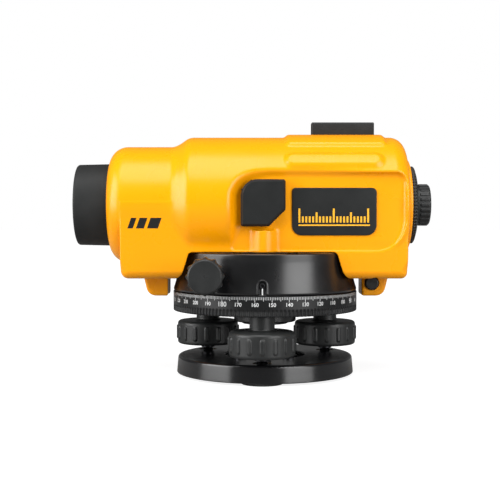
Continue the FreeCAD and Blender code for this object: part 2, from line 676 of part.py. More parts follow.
def pendulum():
    """Hanging arm of the compensator, with the damping fin below its tray."""
    x = COMPENSATOR_X
    yoke = block((x - 4.5, -9.5, AXIS_Z + 11.0), (x + 4.5, 9.5, AXIS_Z + 13.0))
    low = AXIS_Z - 12.0
    high = AXIS_Z + 12.0
    sides = [block((x - 2.0, y - 0.8, low), (x + 2.0, y + 0.8, high)) for y in (-8.7, 8.7)]
    tray = block((x - 5.0, -9.5, low), (x + 5.0, 9.5, AXIS_Z - 10.2))
    fin = block((x - 1.5, -6.0, AXIS_Z - 17.0), (x + 1.5, 6.0, low))
    return join([yoke, tray, fin] + sides)


def pendulum_prism():
    """Prism on the pendulum tray."""
    base_z = AXIS_Z - 10.2
    return plate_xz([(COMPENSATOR_X - 4.8, base_z, 0), (COMPENSATOR_X + 4.8, base_z, 0),
                     (COMPENSATOR_X, base_z + 13.2, 0)], -7.6, 7.6)


def damper_magnets():
    """Magnets on both sides of the damping fin."""
    pair = []
    for side in (-1, 1):
        near = COMPENSATOR_X + side * 2.6
        far = COMPENSATOR_X + side * 5.0
        pair.append(block((min(near, far), -5.0, AXIS_Z - 19.5), (max(near, far), 5.0, AXIS_Z - 13.4)))
    return Part.makeCompound(pair)


def reticle_cell():
    """Metal ring that carries the reticle glass."""
    return ring(10.0, 7.5, axis_point(70.0), axis_point(76.0))


def reticle_glass():
    """Glass disc with the cross hairs."""
    return rod(7.5, axis_point(72.0), axis_point(73.6))


def reticle_mount():
    """Sleeve in the rear wall around the reticle cell and the eyepiece."""
    sleeve = ring(13.5, 11.4, axis_point(66.0), axis_point(REAR_X))
    flange = ring(18.0, 13.5, axis_point(REAR_X - SHELL - 1.6), axis_point(REAR_X - SHELL))
    mount = sleeve.fuse(flange).removeSplitter()
    hole = rod(1.2, axis_point(73, 9, 0), axis_point(73, 16, 0))
    for angle in (0, 90, 180, 270):
        mount = mount.cut(spun(hole, angle, axis_point(0), (1, 0, 0)))
    return mount


def reticle_screws():
    """Four screws that centre the reticle."""
    screw = rod(1.2, axis_point(73, 10.0, 0), axis_point(73, 14.6, 0))
    angles = (0, 90, 180, 270)
    return Part.makeCompound([spun(screw, angle, axis_point(0), (1, 0, 0)) for angle in angles])


def eyepiece_flange():
    """Yellow ring on the rear wall."""
    face = REAR_X + 2.5
    return turned_x([(REAR_X, 13.5, 0), (REAR_X, 28.0, 0), (face, 28.0, 1.2), (face, 13.5, 0)])


def reticle_cover():
    """Black knurled ring behind the eyepiece ring."""
    face = REAR_X + 2.5
    return turned_x([(face, 13.3, 0), (face, 23.7, 0.8), (face + 4.0, 23.7, 1.4), (face + 4.0, 13.3, 0)])


def eyepiece_sleeve():
    """Fixed sleeve that the dioptre ring turns on."""
    return turned_x([(77.5, 7.2, 0), (77.5, 11.3, 0), (REAR_X + 6.3, 11.3, 0), (REAR_X + 6.3, 10.3, 0),
                     (98.0, 10.3, 0), (98.0, 9.3, 0), (80.0, 9.3, 0), (80.0, 7.2, 0)])


def dioptre_ring():
    """Eyepiece focusing ring with coarse ribs, a shallow eye hollow and the lens cell inside."""
    low = REAR_X + 6.8
    body = turned_x([(low, 10.4, 0), (low, 12.2, 0.5), (100.3, 12.2, 1.2), (100.3, 8.0, 0.8),
                     (98.6, 6.6, 0), (92.0, 6.6, 0), (92.0, 9.2, 0), (98.3, 9.2, 0), (98.3, 10.4, 0)])
    ribs = []
    for index in range(20):
        rib = block((low + 0.8, -0.8, AXIS_Z + 11), (98.9, 0.8, AXIS_Z + 12.8))
        ribs.append(spun(rib, 18 * index, axis_point(0), (1, 0, 0)))
    return join([body] + ribs)


def eye_lens():
    """Eye lens inside the dioptre ring."""
    return lens(93.6, 98.0, 6.6, 20, 30)


def badge_plate():
    """Black plate stuck on the near side panel."""
    return plate_xz([(15.2, 85.5, 5.8), (64.6, 85.5, 6.0), (64.6, 113.3, 2.8), (15.2, 113.3, 2.2)],
                    -PANEL_Y - 1.0, -PANEL_Y)


def sight_body():
    """Peep sight on top: a box with a window at each end."""
    box = block((28.4, -5.6, 143.0), (66.2, 5.6, 153.8))
    box = box.cut(rod(BAND_R, axis_point(0), axis_point(100)))
    return box.cut(block((20, -3.6, 148.0), (80, 3.6, 152.4)))


def sight_windows():
    """Collimating lens block at the eye end of the sight and the aiming window at the far end."""
    return Part.makeCompound([block((60.0, -3.6, 148.0), (65.6, 3.6, 152.4)),
                              block((29.4, -3.6, 148.0), (31.0, 3.6, 152.4))])


def vial_cup():
    """Brass cup of the circular bubble."""
    cup = rod(6.0, (VIAL_X, VIAL_Y, 80.0), (VIAL_X, VIAL_Y, 87.0))
    return cup.cut(rod(5.0, (VIAL_X, VIAL_Y, 82.0), (VIAL_X, VIAL_Y, 88.0)))


def vial_glass():
    """Glass vial with a shallow dome."""
    body = rod(5.0, (VIAL_X, VIAL_Y, 82.0), (VIAL_X, VIAL_Y, 87.2))
    dome = Part.makeSphere(26.0, V(VIAL_X, VIAL_Y, 61.6))
    return body.common(dome)


def along_hinge(distance):
    """Point on the flap's hinge line."""
    return tuple(c + d * distance for c, d in zip(HINGE_CENTRE, HINGE_AXIS))


def flap_outline(inset):
    """Outline of the flap: a round upper-left corner and a cut lower-right corner."""
    low_x = -14.6 + inset
    high_x = 11.4 - inset
    low_z = 90.8 + inset
    high_z = 118.1 - inset
    cut = 9.7
    return [(low_x, low_z, 1.6), (high_x - cut, low_z, 1.6), (high_x, low_z + cut, 1.6),
            (high_x, high_z, 1.6), (low_x, high_z, 9.8 - inset)]


def mirror_flap():
    """Cover of the bubble, with a mirror inside."""
    flap = plate_xz(flap_outline(0), -39.7, -34.8)
    flap = flap.cut(plate_xz(flap_outline(4.0), -35.8, -34.0))
    flap = flap.cut(rod(0.85, along_hinge(-12), along_hinge(12)))
    for side in (-1, 1):
        flap = flap.cut(rod(2.4, along_hinge(side * 2.0), along_hinge(side * 12)))
    return flap


def mirror_glass():
    """Mirror on the inner face of the flap."""
    glass = plate_xz(flap_outline(4.0), -35.8, -34.9)
    return glass.cut(rod(2.4, along_hinge(-12), along_hinge(12)))


def flap_bracket():
    """Two eyes on the panel with the flap's hinge pin between them."""
    eyes = []
    for side in (-1, 1):
        eye = rod(1.5, along_hinge(side * 2.4), along_hinge(side * 4.2))
        middle = along_hinge(side * 3.3)
        foot = block((middle[0] - 0.8, HINGE_CENTRE[1], middle[2] - 1.0),
                     (middle[0] + 0.8, -PANEL_Y, middle[2] + 1.0))
        foot = spun(foot, -45, (middle[0], 0, middle[2]), (0, 1, 0))
        eyes.append(eye.fuse(foot))
    return join(eyes + [rod(0.8, along_hinge(-4.2), along_hinge(4.2))])


def check_button():
    """Push button of the compensator check, in the rear lug."""
    head = rod(4.05, (BUTTON_X, -13.2, BUTTON_Z), (BUTTON_X, -8.6, BUTTON_Z))
    edges = [edge for edge in head.Edges if edge.BoundBox.YMax < -13.0]
    head = head.makeFillet(0.8, edges)
    return head.fuse(rod(2.0, (BUTTON_X, -9.0, BUTTON_Z), (BUTTON_X, 0.5, BUTTON_Z))).removeSplitter()


def build():
    """Make every sub-part."""
    keep("base_plate", base_plate())
    keep("base_pads", base_pads())
    keep("foot_seats", foot_seats())
    keep("spring_plate_screws", spring_plate_screws())
    keep("spring_plate", spring_plate())
    keep("spring_stud", spring_stud())
    for name, angle in SCREW_ANGLES.items():
        keep(name + "_foot_screw", foot_screw(angle))
        keep(name + "_foot_knob", foot_knob(angle))
    keep("tribrach", tribrach())
    keep("foot_screw_nuts", foot_screw_nuts())
    keep("axis_bush", ring(10.0, AXIS_R + 0.04, (0, 0, 37.5), (0, 0, CIRCLE_TOP - 0.3)))
    keep("horizontal_circle", horizontal_circle())
    keep("alidade_base", alidade_base())
    keep("alidade_cover", alidade_cover())
    keep("base_screws", base_screws())
    keep("axis_spindle", axis_spindle())
    keep("axis_nut", axis_nut())
    keep("worm_wheel", worm_wheel())
    keep("tangent_shaft", tangent_shaft())
    keep("tangent_bushes", tangent_bushes())
    keep("tangent_knobs", Part.makeCompound([tangent_knob(-1), tangent_knob(1)]))
    keep("index_plate", index_plate())
    keep("main_housing", main_housing())
    keep("lens_shade", lens_shade())
    keep("objective_cell", objective_cell())
    keep("objective_lenses", objective_lenses())
    keep("telescope_tube", telescope_tube())
    keep("focusing_carriage", focusing_carriage())
    keep("focusing_lens", lens(-26.0, -22.0, 12.0, -60, -60))
    keep("focus_shaft", focus_shaft())
    keep("focus_bush", focus_bush())
    keep("focus_knob", focus_knob())
    keep("compensator_frame", compensator_frame())
    keep("fixed_prisms", fixed_prisms())
    keep("suspension_wires", suspension_wires())
    keep("pendulum", pendulum())
    keep("pendulum_prism", pendulum_prism())
    keep("damper_magnets", damper_magnets())
    keep("reticle_mount", reticle_mount())
    keep("reticle_cell", reticle_cell())
    keep("reticle_glass", reticle_glass())
    keep("reticle_screws", reticle_screws())
    keep("eyepiece_flange", eyepiece_flange())
    keep("reticle_cover", reticle_cover())
    keep("eyepiece_sleeve", eyepiece_sleeve())
    keep("dioptre_ring", dioptre_ring())
    keep("eye_lens", eye_lens())
    keep("badge_plate", badge_plate())
    keep("sight_body", sight_body())
    keep("sight_windows", sight_windows())
    keep("vial_cup", vial_cup())
    keep("vial_glass", vial_glass())
    keep("mirror_flap", mirror_flap())
    keep("mirror_glass", mirror_glass())
    keep("flap_bracket", flap_bracket())
    keep("check_button", check_button())


build()
os.makedirs("parts", exist_ok=True)
for part_name, part_shape in PARTS.items():
    part_shape.exportStep("parts/" + part_name + ".step")
    print(part_name, len(part_shape.Solids), part_shape.isValid(), round(part_shape.Volume, 1))
print(len(PARTS), "parts")
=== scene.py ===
import json
import math
from itertools import product

import bmesh
import bpy
import numpy as np
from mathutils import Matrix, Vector


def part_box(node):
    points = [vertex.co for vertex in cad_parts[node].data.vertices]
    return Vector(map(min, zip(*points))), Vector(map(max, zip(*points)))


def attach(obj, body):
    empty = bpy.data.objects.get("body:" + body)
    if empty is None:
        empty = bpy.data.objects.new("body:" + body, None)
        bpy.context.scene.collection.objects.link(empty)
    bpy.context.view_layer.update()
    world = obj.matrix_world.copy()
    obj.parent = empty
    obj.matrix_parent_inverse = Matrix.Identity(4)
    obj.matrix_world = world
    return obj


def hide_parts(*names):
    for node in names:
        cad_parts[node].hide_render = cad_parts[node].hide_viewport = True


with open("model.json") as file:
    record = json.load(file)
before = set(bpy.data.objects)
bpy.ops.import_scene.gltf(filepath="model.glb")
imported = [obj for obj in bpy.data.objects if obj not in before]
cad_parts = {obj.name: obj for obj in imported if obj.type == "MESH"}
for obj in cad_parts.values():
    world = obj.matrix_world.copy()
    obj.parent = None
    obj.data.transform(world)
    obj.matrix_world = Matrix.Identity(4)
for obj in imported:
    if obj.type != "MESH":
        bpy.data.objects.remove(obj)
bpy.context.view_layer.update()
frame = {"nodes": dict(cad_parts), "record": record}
MM = 0.001


def low_mm(node):
    """Lowest corner of a CAD node, in millimetres."""
    return np.array(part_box(node)[0]) / MM


def high_mm(node):
    """Highest corner of a CAD node, in millimetres."""
    return np.array(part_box(node)[1]) / MM


# Places read from the frame, in millimetres
SHADE_LOW, SHADE_HIGH = low_mm("lens_shade"), high_mm("lens_shade")
AXIS_Z = float((SHADE_LOW[2] + SHADE_HIGH[2]) / 2)
BODY_LOW, BODY_HIGH = low_mm("main_housing"), high_mm("main_housing")
CIRCLE_LOW, CIRCLE_HIGH = low_mm("horizontal_circle"), high_mm("horizontal_circle")
MARKED_R = float(CIRCLE_HIGH[0]) - 0.05
BADGE_LOW, BADGE_HIGH = low_mm("badge_plate"), high_mm("badge_plate")
VIAL_LOW, VIAL_HIGH = low_mm("vial_cup"), high_mm("vial_cup")

# Shape of the housing, in millimetres
FRONT_X = float(BODY_LOW[0]) + 1.2
FRONT_R, FRONT_CORNER, FRONT_END = 35.35, 10.8, -30.0
BARREL_X = (-54.6, 84.5)
BARREL_R, BARREL_CORNER = 41.1, 9.0
SHOULDER_R, SHOULDER_NORMAL = 35.0, (-0.579, 0.816)
SKIRT_X, SKIRT_CORNERS = (-85.2, 83.3), (4.6, 3.6, 0, 0)
SKIRT_BOTTOM, SKIRT_Y = 60.0, 33.0
SKIRT_SLOPE = 2.3 / 43.6
TOP_RIDGE_X, TOP_RIDGE_CORNER, TOP_RIDGE_RISE, TOP_RIDGE_EDGE = (12.6, 71.6), 3.0, 1.8, 2.0
SIDE_RIDGE_X, SIDE_RIDGE_CORNER, SIDE_RIDGE_RISE, SIDE_RIDGE_EDGE = (11.4, 68.6), 5.1, 1.7, 2.8
RECESS_LOW, RECESS_HIGH, RECESS_CORNERS = (-19.5, 77.0), (82.0, 122.0), (2.0, 18.0, 6.0, 15.5)
RECESS_Y = float(-BADGE_HIGH[1])
LUG_X = {-1: (-74.1, -57.1), 1: (58.5, 75.0)}
LUG_BOTTOM, LUG_TOP, LUG_Y = 48.5, 66.0, 11.0
LUG_TAN, LUG_COS = 0.24, 0.972
BOSS_R, BOSS_BOTTOM, BOSS_TOP = 7.3, 74.7, 88.4
WELL_X, WELL_R, WELL_FLARE, WELL_TOP, WELL_DEPTH = -1.7, 54.6, 3.5, 75.6, 15.6

# Ridges of the housing, in degrees from the top of the barrel
TOP_RIDGE_HALF = 32.4
SIDE_RIDGE_MIDDLE, SIDE_RIDGE_HALF = 50.9, 7.2

# Bores and inner space of the housing, in millimetres
VIAL_BORE_R, VIAL_BORE_Z = 6.02, (80.0, 87.0)
BUTTON_BORE_R, BUTTON_BORE_Y = 4.4, -6.0
BUSH_BORE_R, BUSH_BORE_X, BUSH_BORE_Y = 5.52, 3.0, 20.0
MOUTH_BORE_R, MOUTH_BORE_X = 22.65, -88.0
TAIL_BORE_R, TAIL_BORE_X = 13.55, 60.0
FRONT_SPACE_X, FRONT_SPACE_R, FRONT_SPACE_CORNER = (-92.3, -48.0), 32.15, 8.0
REAR_SPACE_X, REAR_SPACE_R, REAR_SPACE_CORNER = (-50.0, 81.3), 30.0, 3.0
FLOOR_TOP = 79.0
NO_BORE = 100.0

# Direction of the index, and the reading under it, in degrees
INDEX_ANGLE = -92.35
READING = 155.7

# Fineness of the housing's mesh, in millimetres
NET_STEP = 0.62


# ---------------------------------------------------------------- distance fields

def soft_max(a, b, k):
    """Maximum with its crease rounded over k."""
    h = np.maximum(k - np.abs(a - b), 0) / k
    return np.maximum(a, b) + h * h * k * 0.25


def soft_min(a, b, k):
    """Minimum with its crease rounded over k."""
    return -soft_max(-a, -b, k)


def step_up(value, low, high):
    """Smooth 0 to 1 between low and high."""
    t = np.clip((value - low) / (high - low), 0, 1)
    return t * t * (3 - 2 * t)


def round_and(a, b, radius):
    """Intersection of two distances with a true fillet."""
    inside = np.minimum(np.maximum(a, b) + radius, 0)
    return inside + np.hypot(np.maximum(a + radius, 0), np.maximum(b + radius, 0)) - radius


def rounded_rect(a, b, low, high, radii):
    """Distance to a rectangle; radii run from the lowest corner, against the clock."""
    pa = a - (low[0] + high[0]) / 2
    pb = b - (low[1] + high[1]) / 2
    radius = np.where(pa > 0, np.where(pb > 0, radii[2], radii[1]),
                      np.where(pb > 0, radii[3], radii[0]))
    qa = np.abs(pa) - (high[0] - low[0]) / 2 + radius
    qb = np.abs(pb) - (high[1] - low[1]) / 2 + radius
    inside = np.minimum(np.maximum(qa, qb), 0)
    return inside + np.hypot(np.maximum(qa, 0), np.maximum(qb, 0)) - radius


def raised_band(x, arc, rise, ends, half_width, corner, height, edge):
    """Distance to a flat-topped rib that lies on the barrel."""
    plan = rounded_rect(x, arc, (ends[0], -half_width), (ends[1], half_width), (corner,) * 4)
    return round_and(plan, rise - height, edge)


def lug(x, y, z, lean):
    """Distance to one lug under the skirt; lean is the side whose edge slants."""
    low, high = LUG_X[lean]
    outer = low if lean < 0 else high
    slant = ((x - outer) * lean + (SKIRT_BOTTOM + 2 - z) * LUG_TAN) * LUG_COS
    inner = (low - x) if lean > 0 else (x - high)
    plan = soft_max(soft_max(slant, LUG_BOTTOM - z, 5.0), inner, 1.5)
    return round_and(round_and(plan, z - LUG_TOP, 1.0), np.abs(y) - LUG_Y, 1.8)


def ridges(x, around, rise):
    """Distance to the broad top ridge and the two narrow side ridges."""
    degree = BARREL_R * math.pi / 180
    top = raised_band(x, around, rise, TOP_RIDGE_X, TOP_RIDGE_HALF * degree,
                      TOP_RIDGE_CORNER, TOP_RIDGE_RISE, TOP_RIDGE_EDGE)
    side = raised_band(x, around - SIDE_RIDGE_MIDDLE * degree, rise, SIDE_RIDGE_X,
                       SIDE_RIDGE_HALF * degree, SIDE_RIDGE_CORNER, SIDE_RIDGE_RISE, SIDE_RIDGE_EDGE)
    return soft_min(top, side, 0.3)


def recess(x, z, side):
    """Distance to the side recess, and the roundness of its rim."""
    outline = rounded_rect(x, z, RECESS_LOW, RECESS_HIGH, RECESS_CORNERS)
    hollow = step_up(z, 78, 92) * (1 + 1.2 * step_up(-x, -4, 12))
    rim = 1.8 + 2.6 * step_up(70 - x, 0, 50) * step_up(z, 79, 90)
    return round_and(outline, RECESS_Y - side, 0.5 + 2.5 * hollow), rim


def bores(x, y, z, r, from_vial):
    """Distances to the housing's bores and to its inner space."""
    up = z - AXIS_Z
    button_x, _, button_z = (low_mm("check_button") + high_mm("check_button")) / 2
    from_button = np.hypot(x - button_x, z - button_z)
    above_or_below = (z < VIAL_BORE_Z[0]) | (z > VIAL_BORE_Z[1])
    yield np.where(above_or_below, NO_BORE, from_vial - VIAL_BORE_R)
    yield np.where(y > BUTTON_BORE_Y, NO_BORE, from_button - BUTTON_BORE_R)
    yield np.where(y < BUSH_BORE_Y, NO_BORE, np.hypot(x - BUSH_BORE_X, up) - BUSH_BORE_R)
    yield np.where(x > MOUTH_BORE_X, NO_BORE, r - MOUTH_BORE_R)
    yield np.where(x < TAIL_BORE_X, NO_BORE, r - TAIL_BORE_R)
    front = rounded_rect(x, r, (FRONT_SPACE_X[0], -FRONT_SPACE_R),
                         (FRONT_SPACE_X[1], FRONT_SPACE_R), (0, 0, 0, FRONT_SPACE_CORNER))
    rear = rounded_rect(x, r, (REAR_SPACE_X[0], -REAR_SPACE_R),
                        (REAR_SPACE_X[1], REAR_SPACE_R), (0, 0, REAR_SPACE_CORNER, 0))
    yield np.maximum(np.minimum(front, rear), FLOOR_TOP - z)


def housing_distance(x, y, z):
    """Distance to the yellow housing."""
    r = np.hypot(y, z - AXIS_Z)
    side = np.abs(y)
    front = rounded_rect(x, r, (FRONT_X, -FRONT_R), (FRONT_END, FRONT_R), (0, 0, 0, FRONT_CORNER))
    slope = (x - BARREL_X[0]) * SHOULDER_NORMAL[0] + (r - SHOULDER_R) * SHOULDER_NORMAL[1]
    barrel = rounded_rect(x, r, (BARREL_X[0], -BARREL_R), (BARREL_X[1], BARREL_R),
                          (0, 0, BARREL_CORNER, 0))
    shape = soft_min(front, soft_max(barrel, slope, 1.6), 2.4)

    wall = side - (SKIRT_Y + SKIRT_SLOPE * np.clip(z - SKIRT_BOTTOM, 0, AXIS_Z - SKIRT_BOTTOM))
    side_view = rounded_rect(x, z, (SKIRT_X[0], SKIRT_BOTTOM), (SKIRT_X[1], AXIS_Z + 2),
                             SKIRT_CORNERS)
    skirt = round_and(wall, side_view, 1.0 + 4.0 * step_up(72.0 - z, 0, 9.0))
    shape = soft_min(shape, skirt, 0.7 + 0.7 * step_up(x, -60, -48))

    around = np.arctan2(side, z - AXIS_Z) * BARREL_R
    shape = soft_min(shape, ridges(x, around, r - BARREL_R), 2.2)
    hollow, rim = recess(x, z, side)
    shape = soft_max(shape, -hollow, rim)
    for lean in LUG_X:
        shape = soft_min(shape, lug(x, y, z, lean), 0.8)

    vial = (VIAL_LOW + VIAL_HIGH) / 2
    from_vial = np.hypot(x - vial[0], y - vial[1])
    boss = round_and(from_vial - BOSS_R, np.maximum(z - BOSS_TOP, BOSS_BOTTOM - z), 0.6)
    shape = soft_min(shape, boss, 3.0)

    well_r = WELL_R + WELL_FLARE * np.clip((WELL_TOP - z) / WELL_DEPTH, 0, 1) ** 1.1
    well = round_and(np.hypot(x - WELL_X, y) - well_r, z - WELL_TOP, 1.6)
    shape = soft_max(shape, -well, 0.8)
    for bore in bores(x, y, z, r, from_vial):
        shape = np.maximum(shape, -bore)
    return shape


# ---------------------------------------------------------------- meshes

def surface_net(distance, low, high, step):
    """Closed quad mesh on the zero level of a distance field, with a normal at each point."""
    axes = [np.arange(low[i], high[i] + step, step) for i in range(3)]
    grid = np.meshgrid(*axes, indexing="ij")
    field = distance(*grid)
    inside = field < 0
    cells = tuple(n - 1 for n in field.shape)

    def corner(data, offset):
        return data[tuple(slice(o, o + c) for o, c in zip(offset, cells))]

    count = sum(corner(inside, o).astype(np.int8) for o in product((0, 1), repeat=3))
    mixed = (count > 0) & (count < 8)
    index = np.full(cells, -1, dtype=np.int64)
    index[mixed] = np.arange(mixed.sum())
    total = np.zeros((int(mixed.sum()), 3))
    hits = np.zeros(int(mixed.sum()))
    for axis in range(3):
        others = [i for i in range(3) if i != axis]
        for shift in product((0, 1), repeat=2):
            start = np.zeros(3, dtype=int)
            start[others] = shift
            end = start.copy()
            end[axis] = 1
            a = corner(field, start)[mixed]
            b = corner(field, end)[mixed]
            crossed = (a < 0) != (b < 0)
            where = np.where(crossed, a / np.where(crossed, a - b, 1), 0)
            point = np.tile(start.astype(float), (len(a), 1))
            point[:, axis] += where
            total += point * crossed[:, None]
            hits += crossed
    points = np.argwhere(mixed) + total / hits[:, None]
    points = points * step + np.array([a[0] for a in axes])

    faces = []
    for axis in range(3):
        one, two = [(1, 2), (2, 0), (0, 1)][axis]
        low_side = inside[tuple(slice(0, -1) if i == axis else slice(1, -1) for i in range(3))]
        high_side = inside[tuple(slice(1, None) if i == axis else slice(1, -1) for i in range(3))]
        for sign, cut in ((1, low_side & ~high_side), (-1, ~low_side & high_side)):
            at = np.argwhere(cut)
            at[:, one] += 1
            at[:, two] += 1
            ring = []
            for d_one, d_two in ((0, 0), (-1, 0), (-1, -1), (0, -1)):
                cell = at.copy()
                cell[:, one] += d_one
                cell[:, two] += d_two
                ring.append(index[cell[:, 0], cell[:, 1], cell[:, 2]])
            quad = np.stack(ring if sign > 0 else ring[::-1], axis=1)
            faces.append(quad)
    faces = np.concatenate(faces)

    for _ in range(4):
        value, slope = field_slope(distance, points)
        move = np.clip(value, -step * 0.4, step * 0.4) / np.maximum((slope ** 2).sum(1), 0.3)
        points -= slope * move[:, None]
    normals = field_slope(distance, points)[1]
    normals /= np.maximum(np.linalg.norm(normals, axis=1), 1e-9)[:, None]
    return points, faces, normals


def field_slope(distance, points, reach=0.04):
    """Value and gradient of a distance field at points."""
    slope = np.empty_like(points)
    for axis in range(3):
        ahead = points.copy()
        ahead[:, axis] += reach
        back = points.copy()
        back[:, axis] -= reach
        slope[:, axis] = (distance(*ahead.T) - distance(*back.T)) / (2 * reach)
    return distance(*points.T), slope


def piece_from(name, points, faces, body, replaced=(), slot=None, normals=None, smooth=True):
    """Object from points in millimetres that rides on a body."""
    mesh = bpy.data.meshes.new(name)
    mesh.from_pydata((np.asarray(points) * MM).tolist(), [], [list(f) for f in faces])
    mesh.update()
    obj = bpy.data.objects.new(name, mesh)
    bpy.context.scene.collection.objects.link(obj)
    mesh.shade_smooth() if smooth else mesh.shade_flat()
    if normals is not None:
        mesh.normals_split_custom_set_from_vertices(normals.tolist())
    return ready(obj, body, replaced)


def ready(obj, body, replaced=()):
    """Ride on a body and stand for CAD nodes."""
    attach(obj, body)
    if replaced:
        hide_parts(*replaced)
    return obj


# ---------------------------------------------------------------- materials

def principled(name, colour, roughness, metallic=0.0, coat=0.0, **sockets):
    """New material, with its nodes, links and Principled shader."""
    material = bpy.data.materials.new(name)
    material.use_nodes = True
    nodes, links = material.node_tree.nodes, material.node_tree.links
    shader = nodes["Principled BSDF"]
    shader.inputs["Base Color"].default_value = (*colour, 1)
    shader.inputs["Roughness"].default_value = roughness
    shader.inputs["Metallic"].default_value = metallic
    shader.inputs["Coat Weight"].default_value = coat
    for socket, value in sockets.items():
        shader.inputs[socket.replace("_", " ")].default_value = value
    return material, nodes, links, shader


def noise(nodes, links, scale, detail=3.0, stretch=None):
    """Object-space noise; stretch scales the coordinates per axis."""
    coords = nodes.new("ShaderNodeTexCoord")
    texture = nodes.new("ShaderNodeTexNoise")
    texture.inputs["Scale"].default_value = scale
    texture.inputs["Detail"].default_value = detail
    source = coords.outputs["Object"]
    if stretch:
        mapping = nodes.new("ShaderNodeMapping")
        mapping.inputs["Scale"].default_value = stretch
        links.new(source, mapping.inputs["Vector"])
        source = mapping.outputs["Vector"]
    links.new(source, texture.inputs["Vector"])
    return texture.outputs["Fac"]


def ramp(nodes, links, source, stops):
    """Colour ramp from (place, colour) stops."""
    node = nodes.new("ShaderNodeValToRGB")
    elements = node.color_ramp.elements
    while len(elements) < len(stops):
        elements.new(0.5)
    for element, (place, colour) in zip(elements, stops):
        element.position = place
        element.color = (*colour, 1)
    links.new(source, node.inputs["Fac"])
    return node.outputs["Color"]


def grain(nodes, links, shader, height_source, strength, distance_mm):
    """Bump from a height source."""
    bump = nodes.new("ShaderNodeBump")
    bump.inputs["Strength"].default_value = strength
    bump.inputs["Distance"].default_value = distance_mm * MM
    links.new(height_source, bump.inputs["Height"])
    links.new(bump.outputs["Normal"], shader.inputs["Normal"])


def mottled(name, dark, light, roughness, spread=0.06, scale=60.0, bump=0.25, bump_scale=1400.0,
            bump_mm=0.05, **sockets):
    """Surface with a faint colour drift, uneven gloss and a fine moulded grain."""
    material, nodes, links, shader = principled(name, light, roughness, **sockets)
    drift = noise(nodes, links, scale)
    links.new(ramp(nodes, links, drift, ((0.3, dark), (0.7, light))), shader.inputs["Base Color"])
    gloss = ramp(nodes, links, noise(nodes, links, scale * 3),
                 ((0.3, (roughness - spread,) * 3), (0.7, (roughness + spread,) * 3)))
    links.new(gloss, shader.inputs["Roughness"])
    grain(nodes, links, shader, noise(nodes, links, bump_scale, 2.0), bump, bump_mm)
    return material


def brushed(name, colour, roughness, stretch, scale=900.0):
    """Metal with fine turning or brushing lines along one direction."""
    material, nodes, links, shader = principled(name, colour, roughness, metallic=1.0)
    lines = noise(nodes, links, scale, 2.0, stretch)
    gloss = ramp(nodes, links, lines,
                 ((0.3, (roughness * 0.7,) * 3), (0.7, (roughness * 1.4,) * 3)))
    links.new(gloss, shader.inputs["Roughness"])
    grain(nodes, links, shader, lines, 0.2, 0.03)
    return material


def glass(name, colour):
    """Coated optical glass."""
    material, nodes, links, shader = principled(name, colour, 0.02, coat=0.6, IOR=1.5,
                                                Transmission_Weight=0.9)
    grain(nodes, links, shader, noise(nodes, links, 40.0), 0.02, 0.01)
    return material


YELLOW = mottled("yellow_enamel", (0.94, 0.348, 0.0), (0.97, 0.366, 0.0), 0.28, spread=0.03,
                 scale=18.0, bump=0.10, bump_scale=1500.0, Specular_IOR_Level=0.33)
SHINY_BLACK = mottled("black_enamel", (0.0035, 0.0036, 0.004), (0.005, 0.0052, 0.006), 0.22,
                      spread=0.03, scale=40.0, bump=0.06, bump_scale=2000.0, coat=0.75,
                      Coat_Roughness=0.18, Specular_IOR_Level=0.2)
CONE_BLACK = mottled("cone_enamel", (0.0035, 0.0036, 0.004), (0.005, 0.0052, 0.006), 0.30,
                     spread=0.03, scale=40.0, bump=0.06, bump_scale=2000.0, coat=0.75,
                     Coat_Roughness=0.25, Specular_IOR_Level=0.2)
KNOB_BLACK = mottled("knob_plastic", (0.013, 0.014, 0.014), (0.018, 0.019, 0.019), 0.40,
                     spread=0.05, scale=90.0, bump=0.35, bump_scale=2600.0, Specular_IOR_Level=0.42)
PLASTIC_BLACK = mottled("moulded_plastic", (0.017, 0.018, 0.018), (0.023, 0.024, 0.024), 0.44,
                        spread=0.05, scale=70.0, bump=0.3, bump_scale=2400.0,
                        Specular_IOR_Level=0.22)
BADGE_BLACK = mottled("badge_plastic", (0.013, 0.014, 0.014), (0.019, 0.020, 0.020), 0.40,
                      spread=0.04, scale=50.0, bump=0.15, bump_scale=2400.0,
                      Specular_IOR_Level=0.22)
SHADE_BLACK = mottled("anodised_black", (0.019, 0.020, 0.020), (0.025, 0.026, 0.026), 0.50,
                      spread=0.04, scale=80.0, bump=0.2, bump_scale=3000.0, Specular_IOR_Level=0.15)
RUBBER = mottled("pad_rubber", (0.012, 0.012, 0.012), (0.02, 0.02, 0.02), 0.75, scale=120.0,
                 bump=0.5)
STEEL = brushed("turned_steel", (0.56, 0.57, 0.59), 0.28, (1, 1, 12))
SPRING_STEEL = brushed("spring_steel", (0.33, 0.34, 0.36), 0.35, (1, 12, 1))
ZINC = brushed("zinc_screws", (0.50, 0.50, 0.52), 0.36, (1, 1, 6))
ALUMINIUM = brushed("machined_aluminium", (0.72, 0.73, 0.75), 0.32, (12, 1, 1))
BRASS = brushed("turned_brass", (0.70, 0.50, 0.20), 0.26, (1, 1, 10))
BRONZE = brushed("sintered_bronze", (0.48, 0.31, 0.14), 0.45, (3, 1, 1), 1600.0)
GLASS = glass("coated_glass", (0.80, 0.90, 0.95))
SPIRIT = glass("vial_spirit", (0.60, 0.85, 0.15))
MIRROR = mottled("mirror_silver", (0.88, 0.89, 0.90), (0.92, 0.93, 0.94), 0.05, spread=0.02,
                 bump=0.02, metallic=1.0)
YELLOW_INK = mottled("yellow_ink", (0.88, 0.42, 0.01), (0.95, 0.47, 0.015), 0.5, scale=200.0,
                     bump=0.1)
